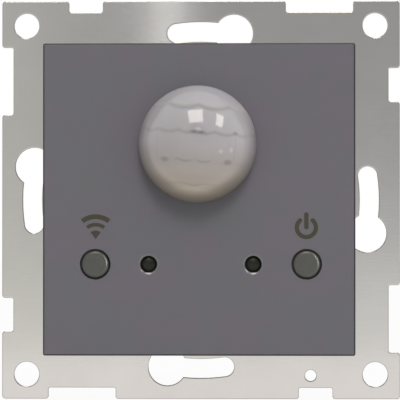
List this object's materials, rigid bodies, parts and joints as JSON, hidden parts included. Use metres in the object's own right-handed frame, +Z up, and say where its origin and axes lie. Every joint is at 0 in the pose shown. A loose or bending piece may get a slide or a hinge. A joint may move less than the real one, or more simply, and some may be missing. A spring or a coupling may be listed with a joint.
{
  "type": "flush-mounted motion detector",
  "caption": "Flush-mounted motion detector: square cover with a domed lens, round buttons and light windows, plugged onto a steel support ring with an in-wall insert.",
  "frame": {"origin": "centre of the support ring's back face, on the wall plane", "axes": "+Z up as mounted, +X to the right as seen from the room, +Y into the wall"},
  "size_m": [0.071, 0.0518, 0.071],
  "materials": {
    "stainless_steel": "brushed",
    "rivet_aluminium": "satin",
    "insert_plastic": "fine textured",
    "zinc_plated_steel": "zinc plated",
    "spring_steel": "rolled",
    "header_plastic": "moulded",
    "circuit_board": "solder mask",
    "relay_case": "moulded",
    "transformer_core": "sintered",
    "filter_capacitor_case": "moulded",
    "capacitor_sleeve": "shrunk sleeve",
    "varistor_coat": "dipped",
    "fuse_body": "lacquered",
    "terminal_plastic": "moulded",
    "bar_brass": "rolled",
    "cage_steel": "zinc plated",
    "cover_plastic": "fine matt lacquer",
    "lens_polyethylene": "moulded, milky",
    "retainer_plastic": "moulded",
    "button_plastic": "moulded",
    "plunger_plastic": "moulded",
    "switch_case": "moulded",
    "smoked_pipe": "smoked clear",
    "light_chip": "clear epoxy",
    "can_nickel": "nickel plated",
    "filter_silicon": "polished",
    "lead_tin": "tinned",
    "pin_gold": "gold flashed",
    "spacer_plastic": "moulded",
    "shield_tin": "tinned",
    "chip_epoxy": "moulded",
    "head_back_plastic": "moulded"
  },
  "bodies": {
    "root": {"support_ring": "stainless_steel", "ring_rivets": "rivet_aluminium", "insert_housing": "insert_plastic", "base_cover": "insert_plastic", "base_screws": "zinc_plated_steel", "leg_springs": "spring_steel", "header_socket": "header_plastic", "power_board": "circuit_board", "relay": "relay_case", "transformer": "transformer_core", "filter_capacitor": "filter_capacitor_case", "buffer_capacitor": "capacitor_sleeve", "varistor": "varistor_coat", "fuse": "fuse_body", "terminal_block": "terminal_plastic", "terminal_block_screws": "zinc_plated_steel", "terminal_bars": "bar_brass"},
    "sensor_head": {"cover_plate": "cover_plastic", "lens_dome": "lens_polyethylene", "lens_retainer": "retainer_plastic", "sensor_board": "circuit_board", "pir_spacer": "spacer_plastic", "pir_can": "can_nickel", "pir_filter_window": "filter_silicon", "pir_leads": "lead_tin", "status_light_pipe": "smoked_pipe", "daylight_light_pipe": "smoked_pipe", "status_led": "light_chip", "daylight_sensor": "light_chip", "radio_module": "circuit_board", "radio_shield": "shield_tin", "board_chips": "chip_epoxy", "header_strip": "header_plastic", "header_pins": "pin_gold", "head_back_cover": "head_back_plastic", "head_screws": "zinc_plated_steel", "wireless_switch": "switch_case", "wireless_snap_dome": "spring_steel", "power_switch": "switch_case", "power_snap_dome": "spring_steel"},
    "wireless_button": {"wireless_button": "button_plastic", "wireless_plunger": "plunger_plastic"},
    "power_button": {"power_button": "button_plastic", "power_plunger": "plunger_plastic"},
    "terminal_screw_1": {"terminal_screw_1": "zinc_plated_steel"},
    "clamp_cage_1": {"clamp_cage_1": "cage_steel"},
    "terminal_screw_2": {"terminal_screw_2": "zinc_plated_steel"},
    "clamp_cage_2": {"clamp_cage_2": "cage_steel"},
    "terminal_screw_3": {"terminal_screw_3": "zinc_plated_steel"},
    "clamp_cage_3": {"clamp_cage_3": "cage_steel"}
  },
  "joints": [
    {"name": "head_pull", "type": "slide", "parent": "root", "child": "sensor_head", "axis": [0, -1, 0], "range_m": [0, 0.015]},
    {"name": "wireless_press", "type": "slide", "parent": "sensor_head", "child": "wireless_button", "axis": [0, 1, 0], "range_m": [0, 0.0003], "stiffness_N_per_m": 1500, "springref_m": -0.0004, "deforming": ["wireless_snap_dome"]},
    {"name": "power_press", "type": "slide", "parent": "sensor_head", "child": "power_button", "axis": [0, 1, 0], "range_m": [0, 0.0003], "stiffness_N_per_m": 1500, "springref_m": -0.0004, "deforming": ["power_snap_dome"]},
    {"name": "screw_turn_1", "type": "hinge", "parent": "root", "child": "terminal_screw_1", "pos_m": [-0.009, 0.0293, -0.01239], "axis": [0, -1, 0], "range_deg": [0, 1585]},
    {"name": "cage_rise_1", "type": "slide", "parent": "root", "child": "clamp_cage_1", "axis": [0, 1, 0], "range_m": [0, 0.0022]},
    {"name": "screw_turn_2", "type": "hinge", "parent": "root", "child": "terminal_screw_2", "pos_m": [0, 0.0293, -0.01239], "axis": [0, -1, 0], "range_deg": [0, 1585]},
    {"name": "cage_rise_2", "type": "slide", "parent": "root", "child": "clamp_cage_2", "axis": [0, 1, 0], "range_m": [0, 0.0022]},
    {"name": "screw_turn_3", "type": "hinge", "parent": "root", "child": "terminal_screw_3", "pos_m": [0.009, 0.0293, -0.01239], "axis": [0, -1, 0], "range_deg": [0, 1585]},
    {"name": "cage_rise_3", "type": "slide", "parent": "root", "child": "clamp_cage_3", "axis": [0, 1, 0], "range_m": [0, 0.0022]}
  ],
  "couplings": [
    {"joint": "screw_turn_1", "follows": "cage_rise_1", "rad_per_m": 12566},
    {"joint": "screw_turn_2", "follows": "cage_rise_2", "rad_per_m": 12566},
    {"joint": "screw_turn_3", "follows": "cage_rise_3", "rad_per_m": 12566}
  ]
}
